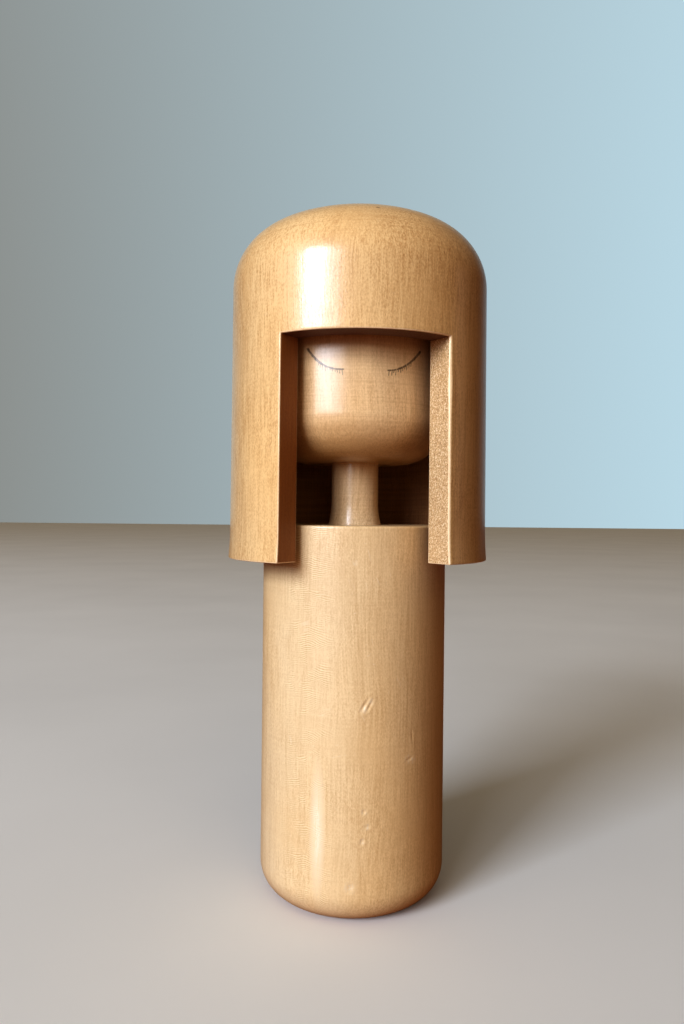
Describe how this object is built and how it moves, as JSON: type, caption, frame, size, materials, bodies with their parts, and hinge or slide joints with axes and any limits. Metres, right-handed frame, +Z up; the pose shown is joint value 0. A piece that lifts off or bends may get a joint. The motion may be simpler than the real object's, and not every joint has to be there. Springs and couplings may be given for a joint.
{
  "type": "kokeshi doll",
  "caption": "Turned wooden kokeshi doll: cylindrical torso, slim neck, barrel head and a domed hood with a face window, where the head turns and the hood turns and lifts off.",
  "frame": {"origin": "centre of the flat foot that the doll stands on", "axes": "+Z up along the doll's turning axis; the face and the hood's window look along -Y; +X to the right of someone who faces the doll"},
  "size_m": [0.0762, 0.0757, 0.199],
  "materials": {
    "torso_wood": "pale close-grained wood under semi-gloss clear lacquer",
    "neck_wood": "pale wood under thin clear lacquer",
    "head_wood": "pale wood under semi-gloss clear lacquer, with inked closed eyes",
    "peg_wood": "bare turned dowel",
    "hood_wood": "golden-tan wood under semi-gloss clear lacquer, bare and dark inside"
  },
  "bodies": {
    "torso": {"torso": "torso_wood"},
    "head": {"neck": "neck_wood", "head": "head_wood"},
    "crown_peg": {"crown_peg": "peg_wood"},
    "hood": {"hood": "hood_wood"}
  },
  "joints": [
    {"name": "head_turn", "type": "hinge", "parent": "torso", "child": "head", "pos_m": [0, 0, 0.1075], "axis": [0, 0, 1], "continuous": true},
    {"name": "hood_lift", "type": "slide", "parent": "head", "child": "crown_peg", "axis": [0, 0, 1], "range_m": [0, 0.09]},
    {"name": "hood_turn", "type": "hinge", "parent": "crown_peg", "child": "hood", "pos_m": [0, 0, 0.179], "axis": [0, 0, 1], "continuous": true}
  ]
}
